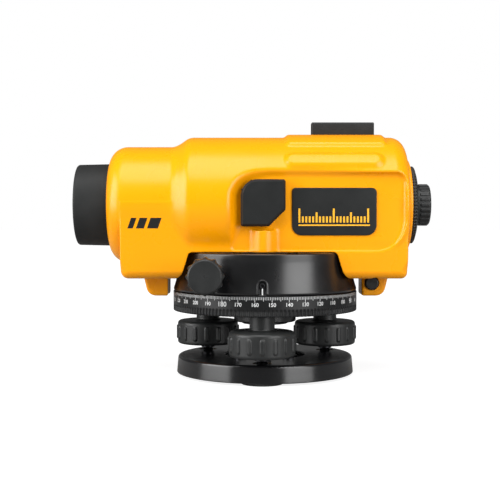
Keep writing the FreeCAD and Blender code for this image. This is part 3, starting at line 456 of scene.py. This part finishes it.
CIRCLE_BLACK = mottled("circle_plastic", (0.0035, 0.0038, 0.0042), (0.0055, 0.0058, 0.0062), 0.36,
                       spread=0.05, scale=90.0, bump=0.2, bump_scale=2600.0,
                       Specular_IOR_Level=0.36)
DARK_STEEL = brushed("black_steel", (0.035, 0.035, 0.038), 0.30, (1, 1, 8))
WHITE_INK = mottled("white_ink", (0.62, 0.63, 0.63), (0.70, 0.71, 0.71), 0.55, scale=200.0,
                    bump=0.1)

CAD_FINISH = {
    "yellow_paint": YELLOW, "black_paint": SHINY_BLACK, "black_plastic": KNOB_BLACK,
    "black_aluminium": SHADE_BLACK, "aluminium": ALUMINIUM, "steel": STEEL,
    "spring_steel": SPRING_STEEL, "screw_steel": ZINC, "brass": BRASS, "bronze": BRONZE,
    "dark_steel": DARK_STEEL, "rubber": RUBBER, "optical_glass": GLASS, "vial_glass": SPIRIT,
    "mirror": MIRROR, "dial_white": WHITE_INK}
OWN_FINISH = {
    "badge_plate": BADGE_BLACK, "mirror_flap": BADGE_BLACK, "sight_body": PLASTIC_BLACK,
    "reticle_cover": PLASTIC_BLACK, "dioptre_ring": PLASTIC_BLACK, "flap_bracket": DARK_STEEL,
    "spring_plate": DARK_STEEL, "spring_plate_screws": DARK_STEEL, "base_screws": DARK_STEEL}


def finish_cad_nodes():
    """Give every CAD node its procedural material."""
    for sub in frame["record"]["subparts"]:
        obj = frame["nodes"][sub["node"]]
        material = OWN_FINISH.get(sub["node"], CAD_FINISH[sub["material_slot"]])
        if not obj.material_slots:
            obj.data.materials.append(material)
        for place in obj.material_slots:
            place.material = material


# ---------------------------------------------------------------- pieces

def make_housing():
    """Yellow housing with moulded fillets."""
    low = BODY_LOW - 2.0
    high = BODY_HIGH + 2.0
    points, faces, normals = surface_net(housing_distance, low, high, NET_STEP)
    piece = piece_from("housing_shell", points, faces, "telescope", ["main_housing"],
                       "yellow_paint", normals)
    paint(piece, YELLOW)


def rounded_loop(corners, arc_steps=6, longest=None):
    """Closed 2-D loop through (a, b, radius) corners, with arcs sampled and long edges divided."""
    loop = []
    count = len(corners)
    for index, (a, b, radius) in enumerate(corners):
        here = np.array((a, b), float)
        back = np.array(corners[index - 1][:2], float) - here
        ahead = np.array(corners[(index + 1) % count][:2], float) - here
        back /= np.linalg.norm(back)
        ahead /= np.linalg.norm(ahead)
        if not radius:
            loop.append(here)
            continue
        half = math.acos(np.clip(back @ ahead, -1, 1)) / 2
        middle = here + (back + ahead) / np.linalg.norm(back + ahead) * radius / math.sin(half)
        start = here + back * radius / math.tan(half) - middle
        end = here + ahead * radius / math.tan(half) - middle
        sweep = math.pi - 2 * half
        for step in range(arc_steps + 1):
            t = step / arc_steps
            arc = start * math.sin((1 - t) * sweep) + end * math.sin(t * sweep)
            loop.append(middle + arc / math.sin(sweep))
    if longest:
        fine = []
        for index, point in enumerate(loop):
            following = loop[(index + 1) % len(loop)]
            pieces = max(1, math.ceil(np.linalg.norm(following - point) / longest))
            fine.extend(point + (following - point) * k / pieces for k in range(pieces))
        loop = fine
    return np.array(loop)


def ring_faces(rows, columns, close_rows=True):
    """Quads of a grid whose columns wrap round, and whose rows too if it is closed."""
    faces = []
    for i in range(rows if close_rows else rows - 1):
        here, below = i * columns, (i + 1) % rows * columns
        for j in range(columns):
            k = (j + 1) % columns
            faces.append((here + j, here + k, below + k, below + j))
    return faces


def turned(name, body, loop, angles, centre=(0, 0), axis="z", relief=None, **options):
    """Closed ring turned about an axis; relief(angle, along, radius) pushes the surface outwards.

    The loop holds (radius, along) pairs and runs against the clock in that plane.
    """
    radius = loop[:, 0][:, None] * np.ones(len(angles))
    along = loop[:, 1][:, None] * np.ones(len(angles))
    angle = np.ones(len(loop))[:, None] * angles
    if relief is not None:
        radius = radius + relief(angle, along, radius)
    one, two = radius * np.cos(angle), radius * np.sin(angle)
    if axis == "z":
        columns = (centre[0] + one, centre[1] + two, along)
    elif axis == "x":
        columns = (along, centre[0] + one, centre[1] + two)
    else:
        columns = (centre[0] + two, along, centre[1] + one)
    points = np.stack(columns, axis=-1).reshape(-1, 3)
    return piece_from(name, points, ring_faces(len(loop), len(angles)), body, **options)


def even_angles(count):
    """Angles spread evenly round a circle."""
    return np.linspace(0, 2 * math.pi, count, endpoint=False)


def paint(piece, material):
    """Give a piece one material."""
    piece.data.materials.clear()
    piece.data.materials.append(material)


def obrounds(count, radius, width, reach, middle, height, soft):
    """Relief of upright obround pads spread round a wheel."""
    pitch = 2 * math.pi / count

    def relief(angle, along, here):
        turn = (angle + pitch / 2) % pitch - pitch / 2
        down = np.maximum(np.abs(along - middle) - reach, 0)
        distance = np.hypot(turn * radius, down) - width / 2
        return height * step_up(-distance, -soft / 2, soft / 2) * (here > radius - 2.5)
    return relief


def make_foot_knobs():
    """Three foot wheels with raised grips and dust sleeves."""
    grips, grip_rise = 16, 0.75
    bore_r, sleeve_r, sleeve_height = 4.3, 7.3, 9.5
    for side in ("front", "right", "left"):
        node = side + "_foot_knob"
        low, high = low_mm(node), high_mm(node)
        centre = ((low[0] + high[0]) / 2, (low[1] + high[1]) / 2)
        outer = float(high[0] - low[0]) / 2
        bottom, top = float(low[2]), float(high[2])
        wheel_top = top - sleeve_height
        body_r = outer - grip_rise
        loop = rounded_loop([
            (bore_r, bottom, 0.2), (9.0, bottom, 0.3), (9.6, bottom + 0.5, 0.3),
            (14.0, bottom + 0.5, 0.3), (14.6, bottom, 0.3), (body_r, bottom, 1.7),
            (body_r, wheel_top, 2.0), (8.9, wheel_top, 0.8), (sleeve_r, wheel_top + 0.8, 0.6),
            (sleeve_r, top, 0.5), (bore_r, top, 0.2)], 5, 0.5)
        middle = (bottom + wheel_top) / 2 - 0.1
        relief = obrounds(grips, body_r, 2.4, 3.1, middle, 0.74, 0.36)
        wheel = turned(node + "_wheel", side + "_foot_screw", loop[::-1], even_angles(grips * 26),
                       centre, relief=relief, replaced=[node], slot="black_plastic")
        paint(wheel, KNOB_BLACK)


def make_circle():
    """Graduated circle with a grooved grip."""
    bottom, top = float(CIRCLE_LOW[2]), float(CIRCLE_HIGH[2])
    wall_r, floor_z, collar_r = 53.2, 48.8, 30.0
    loop = rounded_loop([
        (wall_r, bottom, 0.3), (MARKED_R, bottom, 0.5), (MARKED_R, bottom + 5.2, 0),
        (MARKED_R, top, 0.5), (collar_r, top, 0), (collar_r, floor_z, 0), (wall_r, floor_z, 0.8)],
        4, 0.5)
    count, half_width, depth = 150, 0.62, 0.55
    pitch = 2 * math.pi / count

    def grooves(angle, along, here):
        turn = ((angle + pitch / 2) % pitch - pitch / 2) * MARKED_R
        down = np.maximum(along - (bottom + 3.3), 0) + np.maximum(bottom - 1.0 - along, 0)
        distance = np.hypot(turn, down) - half_width
        return -depth * step_up(-distance, -0.2, 0.35) * (here > MARKED_R - 1.5)
    body = turned("circle_body", "circle", loop[::-1], even_angles(count * 8), relief=grooves,
                  replaced=["horizontal_circle"], slot="black_plastic")
    paint(body, CIRCLE_BLACK)


def on_circle(angle, height):
    """Point just proud of the circle's marked face."""
    proud = MARKED_R + 0.03
    return (proud * math.cos(angle), proud * math.sin(angle), height)


def make_ticks():
    """White graduation, one line for each degree."""
    top = float(CIRCLE_HIGH[2]) - 0.45
    points, faces = [], []
    for degree in range(360):
        length = 2.9 if degree % 10 == 0 else 2.3 if degree % 5 == 0 else 1.55
        start = len(points)
        for side, height in ((-1, top - length), (1, top - length), (1, top), (-1, top)):
            points.append(on_circle(circle_angle(degree) + side * 0.13 / MARKED_R, height))
        faces.append((start, start + 1, start + 2, start + 3))
    ticks = piece_from("circle_ticks", points, faces, "circle", slot="dial_white", smooth=False)
    paint(ticks, WHITE_INK)


def make_numbers():
    """White figures every ten degrees, larger at the quarters."""
    bottom = float(CIRCLE_LOW[2])
    points, faces = [], []
    for number in range(0, 360, 10):
        size, baseline = (3.0, 6.1) if number % 90 else (3.9, 5.9)
        flat_points, flat_faces = text_mesh(str(number), size)
        start = len(points)
        for a, b in flat_points:
            points.append(on_circle(circle_angle(number) + a / MARKED_R, bottom + baseline + b))
        faces.extend([start + index for index in face] for face in flat_faces)
    numbers = piece_from("circle_numbers", points, faces, "circle", slot="dial_white", smooth=False)
    paint(numbers, WHITE_INK)


def text_mesh(body, size):
    """Points and faces of centred plain digits, in millimetres on their baseline."""
    curve = bpy.data.curves.new("digits", "FONT")
    curve.body = body
    curve.size = size
    curve.align_x = "CENTER"
    curve.resolution_u = 4
    curve.offset = 0.05
    holder = bpy.data.objects.new("digits", curve)
    bpy.context.scene.collection.objects.link(holder)
    bpy.context.view_layer.update()
    mesh = bpy.data.meshes.new_from_object(holder)
    points = [(v.co.x, v.co.y) for v in mesh.vertices]
    faces = [list(p.vertices) for p in mesh.polygons]
    bpy.data.objects.remove(holder)
    bpy.data.curves.remove(curve)
    bpy.data.meshes.remove(mesh)
    return points, faces


def circle_angle(degree):
    """Direction of a mark on the circle; the figures grow clockwise from above."""
    return math.radians(INDEX_ANGLE + READING - degree)


def make_cone():
    """Flared black alidade base with the index recess."""
    index = math.radians(INDEX_ANGLE)
    fine = np.radians(np.arange(-9, 9.01, 0.2)) + index
    coarse = np.linspace(fine[-1], fine[0] + 2 * math.pi, 190)[1:-1]
    bore_r, top_r, top_z, bottom_z = 8.1, 52.5, 75.2, 51.9
    flare = [(top_r + 3.5 * ((71.0 - z) / 18.0) ** 1.7, z, 0) for z in np.arange(53.0, 71.1, 0.75)]
    loop = rounded_loop([(bore_r, bottom_z, 0), (55.8, bottom_z, 0.4)] + flare + [
        (top_r, top_z, 0.9), (49.9, top_z, 0.3), (49.9, 54.5, 1.0), (bore_r, 54.5, 0)], 8, 0.3)

    def relief(angle, along, here):
        turn = (angle - index) * 54.5
        outside = np.hypot(turn, np.maximum(along - 57.6, 0))
        rim = 0.14 * step_up(3.3 - outside, 0, 0.5)
        pit = 1.4 * step_up(2.4 - outside, 0, 0.6)
        return (rim - pit) * (here > 51.5) * step_up(along, 52.0, 52.25)
    cone = turned("alidade_cone", "telescope", loop[::-1], np.concatenate((fine, coarse)),
                  relief=relief, replaced=["alidade_base"], slot="black_paint")
    paint(cone, CONE_BLACK)


def make_index():
    """Index screw and the white line under it."""
    across = math.cos(math.radians(INDEX_ANGLE))
    out = math.sin(math.radians(INDEX_ANGLE))
    middle = 54.0 * across
    loop = rounded_loop([(0.85, 55.1, 0.1), (1.5, 55.3, 0.3), (1.5, 54.0, 0.1), (0.85, 54.0, 0.1)],
                        3)
    loop[:, 1] *= out
    screw = turned("index_screw", "telescope", loop, even_angles(24), (middle, 57.3), "y",
                   replaced=["index_plate"], slot="dial_white")
    paint(screw, DARK_STEEL)

    low, high, half = 52.2, 55.6, 0.33
    depth = 55.5 * out
    outline = [(middle - half, low), (middle + half, low), (middle + half, high),
               (middle, high + 0.5), (middle - half, high)]
    points = [(x, y, z) for y in (depth, depth + 0.5) for x, z in outline]
    faces = [(0, 1, 2, 3, 4), (9, 8, 7, 6, 5)]
    faces += [(i, i + 5, (i + 1) % 5 + 5, (i + 1) % 5) for i in range(5)]
    line = piece_from("index_line", points, faces, "telescope", slot="dial_white", smooth=False)
    paint(line, WHITE_INK)


def pillow_plate(name, body, corners, front, back, roll=0.0, bevel=0.0, **options):
    """Plate in XZ with a rounded outline and a rolled or bevelled front edge."""
    loop = rounded_loop(corners, 10)
    ahead = np.roll(loop, -1, axis=0) - loop
    ahead /= np.maximum(np.linalg.norm(ahead, axis=1), 1e-9)[:, None]
    tangent = ahead + np.roll(ahead, 1, axis=0)
    tangent /= np.linalg.norm(tangent, axis=1)[:, None]
    outward = np.stack((tangent[:, 1], -tangent[:, 0]), axis=1)
    levels = [(0.25, back), (0.0, back - 0.25)]
    if bevel:
        levels += [(0.0, front + 1.6), (0.12, front + 1.45), (bevel - 0.12, front + 0.12),
                   (bevel, front)]
    else:
        for turn in np.radians(np.linspace(0, 90, 7)):
            levels.append((roll * (1 - math.cos(turn)), front + roll * (1 - math.sin(turn))))
    points = []
    for inset, y in levels:
        points += [(p[0], y, p[1]) for p in loop - outward * inset]
    count = len(loop)
    faces = [[face[0], face[3], face[2], face[1]] for face in ring_faces(len(levels), count, False)]
    faces.append(list(range(count)))
    faces.append(list(range(len(points) - 1, len(points) - count - 1, -1)))
    piece = piece_from(name, points, faces, body, **options)
    sharpen(piece, 22 if bevel else 40)
    return piece


def sharpen(piece, degrees):
    """Split shading at edges steeper than an angle."""
    mesh = piece.data
    work = bmesh.new()
    work.from_mesh(mesh)
    bmesh.ops.recalc_face_normals(work, faces=work.faces)
    for edge in work.edges:
        edge.smooth = len(edge.link_faces) == 2 and edge.calc_face_angle() < math.radians(degrees)
    work.to_mesh(mesh)
    work.free()


def make_badge():
    """Black side badge with a plain graduation motif in place of lettering."""
    low, high = BADGE_LOW, BADGE_HIGH
    corners = [(low[0], low[2], 5.8), (high[0], low[2], 6.0), (high[0], high[2], 2.8),
               (low[0], high[2], 2.2)]
    badge = pillow_plate("badge", "telescope", corners, low[1], high[1], roll=0.55,
                         replaced=["badge_plate"], slot="black_plastic")
    paint(badge, BADGE_BLACK)
    points, faces = [], []
    front = low[1] - 0.02

    def bar(x_low, x_high, z_low, z_high):
        start = len(points)
        for y in (front, front + 0.1):
            points.extend([(x_low, y, z_low), (x_high, y, z_low), (x_high, y, z_high),
                           (x_low, y, z_high)])
        for face in ((0, 1, 2, 3), (7, 6, 5, 4), (0, 4, 5, 1), (1, 5, 6, 2), (2, 6, 7, 3),
                     (3, 7, 4, 0)):
            faces.append([start + index for index in face])
    left, base = 19.0, 93.0
    bar(left, 60.6, 91.1, 91.9)
    for index in range(21):
        x = left + index * 2.0
        tall = 8.2 if index % 10 == 0 else 6.0 if index % 5 == 0 else 3.6
        bar(x, x + 1.1, base, base + tall)
    motif = piece_from("badge_motif", points, faces, "telescope", slot="yellow_paint", smooth=False)
    paint(motif, YELLOW_INK)


def near_surface(x, z):
    """Y of the housing's near side at a place."""
    depth = np.arange(-45.0, -28.0, 0.02)
    inside = housing_distance(np.full_like(depth, x), depth, np.full_like(depth, z)) < 0
    return float(depth[np.argmax(inside)])


def make_decal():
    """Three slanted stripes printed on the front of the housing in place of lettering."""
    rows, columns = 4, 2
    bottom, height, slant = 89.6, 6.2, 2.2
    points, faces = [], []
    for left, width in ((-80.6, 3.2), (-75.6, 4.6), (-69.2, 6.4)):
        start = len(points)
        for row in range(rows + 1):
            z = bottom + height * row / rows
            for column in range(columns + 1):
                x = left + slant * row / rows + width * column / columns
                points.append((x, near_surface(x, z) - 0.04, z))
        for row in range(rows):
            for column in range(columns):
                k = start + row * 3 + column
                faces.append((k, k + 1, k + 4, k + 3))
    decal = piece_from("front_decal", points, faces, "telescope", slot="black_plastic")
    paint(decal, BADGE_BLACK)


def make_flap():
    """Mirror flap with a rounded corner, a cut corner and bevelled edges."""
    low, high = low_mm("mirror_flap"), high_mm("mirror_flap")
    corner, cut, round_corner = 1.4, 9.7, 9.8
    corners = [(low[0], low[2], corner), (high[0] - cut, low[2], corner),
               (high[0], low[2] + cut, corner), (high[0], high[2], corner),
               (low[0], high[2], round_corner)]
    flap = pillow_plate("flap_cover", "mirror_flap", corners, low[1], high[1], bevel=1.3,
                        replaced=["mirror_flap"], slot="black_plastic")
    paint(flap, BADGE_BLACK)


def make_shade():
    """Lens shade: a turned tube with a rounded mouth and a stepped bore."""
    front, outer = SHADE_LOW[0], float(SHADE_HIGH[1])
    step_x, back = SHADE_HIGH[0] - 3.5, FRONT_X + 0.6
    bore_r = 22.95
    loop = rounded_loop([
        (front, outer - 4.0, 0.5), (step_x, 22.0, 0.3), (step_x, bore_r, 0.1), (back, bore_r, 0.1),
        (back, outer, 0.1), (front, outer - 0.45, 1.5)], 6, 0.8)
    shade = turned("shade_tube", "telescope", loop[:, ::-1], even_angles(240), (0, AXIS_Z), "x",
                   replaced=["lens_shade"], slot="black_aluminium")
    sharpen(shade, 40)
    paint(shade, SHADE_BLACK)


def make_sight():
    """Peep sight: a rectangular tube with softened edges."""
    low, high = low_mm("sight_body"), high_mm("sight_body")
    outside = rounded_loop([(low[1], low[2], 0.4), (high[1], low[2], 0.4), (high[1], high[2], 1.3),
                            (low[1], high[2], 1.3)], 4)
    half, floor, roof = 3.6, 148.0, 152.4
    inside = rounded_loop([(-half, floor, 0.4), (half, floor, 0.4), (half, roof, 0.4),
                           (-half, roof, 0.4)], 4)
    middle = (outside.min(0) + outside.max(0)) / 2
    edge = 0.35
    sections = ((outside, low[0], edge), (outside, low[0] + edge, 0), (outside, high[0] - edge, 0),
                (outside, high[0], edge), (inside, high[0], 0), (inside, low[0], 0))
    points = []
    for loop, x, inset in sections:
        shrink = 1 - inset / np.abs(loop - middle).max()
        points += [(x, p[0], p[1]) for p in middle + (loop - middle) * shrink]
    piece = piece_from("sight_tube", points, ring_faces(len(sections), len(outside)), "telescope",
                       ["sight_body"], "black_plastic")
    sharpen(piece, 30)
    paint(piece, PLASTIC_BLACK)


def make_cover_ring():
    """Knurled ring round the rear of the telescope."""
    low, high = low_mm("reticle_cover"), high_mm("reticle_cover")
    start, end, outer = low[0], high[0], float(high[1])
    bore_r, count, row_pitch = 13.3, 72, 1.5
    loop = rounded_loop([
        (start, bore_r, 0.1), (end, bore_r, 0.2), (end, outer - 2.6, 0.3),
        (end - 0.5, outer - 1.6, 0.3), (end - 0.5, outer, 1.0), (start, outer, 0.6)], 4, 0.35)

    def knurl(angle, along, here):
        ribs = step_up(np.cos(angle * count), -0.4, 0.6)
        rows = step_up(np.cos((along - start) * 2 * math.pi / row_pitch), -0.9, -0.2)
        return 0.7 * (ribs * rows - 1) * (here > outer - 1.2)
    ring = turned("cover_ring", "telescope", loop[:, ::-1], even_angles(count * 10), (0, AXIS_Z),
                  "x", relief=knurl, replaced=["reticle_cover"], slot="black_plastic")
    paint(ring, KNOB_BLACK)


def make_dioptre_ring():
    """Ribbed ring that turns the eyepiece."""
    low, high = low_mm("dioptre_ring"), high_mm("dioptre_ring")
    start, end, outer = float(low[0]), float(high[0]), float(high[1])
    count, rib_rise = 24, 0.45
    loop = rounded_loop([
        (start, 10.4, 0.1), (98.3, 10.4, 0.1), (98.3, 9.2, 0.1), (92.0, 9.2, 0.1), (92.0, 6.6, 0.1),
        (98.6, 6.6, 0.1), (end - 0.2, 8.0, 0.4), (end, 9.6, 0.4), (end, outer - 0.5, 0.9),
        (start, outer - 0.5, 0.5)], 4, 0.35)

    def ribs(angle, along, here):
        wave = step_up(np.cos(angle * count), -0.25, 0.35)
        ends = step_up(along, start + 2.2, start + 2.9) * step_up(-along, -end + 0.5, -end + 1.1)
        return rib_rise * wave * ends * (here > outer - 1.2)
    ring = turned("dioptre_grip", "eyepiece_ring", loop[:, ::-1], even_angles(count * 20),
                  (0, AXIS_Z), "x", relief=ribs, replaced=["dioptre_ring"], slot="black_plastic")
    paint(ring, KNOB_BLACK)


def make_tangent_knobs():
    """Lobed knobs of the tangent drive."""
    low, high = low_mm("tangent_knobs"), high_mm("tangent_knobs")
    centre = ((low[0] + high[0]) / 2, (low[2] + high[2]) / 2)
    bore_r, collar_r, body_r = 3.05, 5.6, 9.9

    def lobes(angle, along, here):
        wave = 0.5 + 0.5 * np.cos(angle * 12)
        out = np.abs(along)
        ends = step_up(out, 52.9, 54.0) * step_up(-out, -64.0, -62.6)
        return 1.05 * wave ** 1.6 * ends * (here > 8.8)
    for side, name in ((-1, "near"), (1, "far")):
        loop = rounded_loop([
            (bore_r, 48.0, 0.1), (collar_r, 48.0, 0.3), (collar_r, 52.4, 0.3), (body_r, 52.4, 0.8),
            (body_r, 64.2, 0.9), (9.0, 65.0, 0.5), (0.3, 64.85, 0.1), (0.3, 61.2, 0.1),
            (bore_r, 61.2, 0)], 5, 0.6)
        loop[:, 1] *= side
        knob = turned("tangent_knob_" + name, "tangent_drive", loop if side < 0 else loop[::-1],
                      even_angles(240), centre, "y", relief=lobes, replaced=["tangent_knobs"],
                      slot="black_plastic")
        paint(knob, KNOB_BLACK)


# ---------------------------------------------------------------- studio

def seen_or_lighting(nodes, links, seen, lighting):
    """Brightness of the surroundings where they are seen, and where they light the object."""
    path = nodes.new("ShaderNodeLightPath")
    level = nodes.new("ShaderNodeMapRange")
    level.inputs["To Min"].default_value = lighting
    level.inputs["To Max"].default_value = seen
    links.new(path.outputs["Is Camera Ray"], level.inputs["Value"])
    return level.outputs["Result"]


def make_stage():
    """Wide pale floor."""
    mesh = bpy.data.meshes.new("studio_floor")
    far = 6
    mesh.from_pydata([(-far, -far, 0), (far, -far, 0), (far, far, 0), (-far, far, 0)], [],
                     [(0, 1, 2, 3)])
    floor = bpy.data.objects.new("studio_floor", mesh)
    bpy.context.scene.collection.objects.link(floor)
    material, nodes, links, shader = principled("pale_floor", (0.27, 0.27, 0.27), 0.95,
                                                Specular_IOR_Level=0.1)
    shader.inputs["Emission Color"].default_value = (1, 1, 1, 1)
    links.new(seen_or_lighting(nodes, links, 0.86, 0.02), shader.inputs["Emission Strength"])
    floor.data.materials.append(material)


def light_the_scene():
    """White surroundings, a soft overhead sun and two tall soft boxes."""
    world = bpy.data.worlds.new("studio")
    world.use_nodes = True
    nodes, links = world.node_tree.nodes, world.node_tree.links
    background = nodes["Background"]
    background.inputs["Color"].default_value = (1, 1, 1, 1)
    links.new(seen_or_lighting(nodes, links, 1.0, 0.12), background.inputs["Strength"])
    bpy.context.scene.world = world

    sun = bpy.data.lights.new("overhead", "SUN")
    sun.energy = 2.0
    sun.angle = math.radians(45)
    lamp = bpy.data.objects.new("overhead", sun)
    lamp.rotation_euler = (math.radians(23), math.radians(-5), 0)
    bpy.context.scene.collection.objects.link(lamp)
    soft_box("right_box", 43, 0.84, 5.6)
    soft_box("left_box", -67, 0.98, 6.2)


def soft_box(name, azimuth, width, radiance):
    """Tall upright lamp that stands on the floor at an angle from the front."""
    turn = math.radians(azimuth)
    away, height = 1.25, 1.15
    data = bpy.data.lights.new(name, "AREA")
    data.shape = "RECTANGLE"
    data.size, data.size_y = width, height
    data.energy = radiance * math.pi * width * height
    lamp = bpy.data.objects.new(name, data)
    lamp.location = (away * math.sin(turn), -away * math.cos(turn), height / 2)
    lamp.rotation_mode = "QUATERNION"
    to_middle = Vector((0, 0, height / 2)) - Vector(lamp.location)
    lamp.rotation_quaternion = to_middle.to_track_quat("-Z", "Y")
    bpy.context.scene.collection.objects.link(lamp)


def place_camera():
    """Camera a little above the object's middle, looking slightly down."""
    data = bpy.data.cameras.new("camera")
    data.lens = 75.6
    data.sensor_width = 36.0
    data.clip_start = 0.01
    camera = bpy.data.objects.new("camera", data)
    camera.location = (-9.2 * MM, -645.8 * MM, 97.0 * MM)
    camera.rotation_euler = (math.radians(90 - 1.87), 0, 0)
    bpy.context.scene.collection.objects.link(camera)
    bpy.context.scene.camera = camera
    bpy.context.scene.view_settings.view_transform = "Standard"


finish_cad_nodes()
make_housing()
make_foot_knobs()
make_circle()
make_ticks()
make_numbers()
make_cone()
make_index()
make_badge()
make_flap()
make_tangent_knobs()
make_shade()
make_sight()
make_cover_ring()
make_dioptre_ring()
make_decal()
make_stage()
light_the_scene()
place_camera()
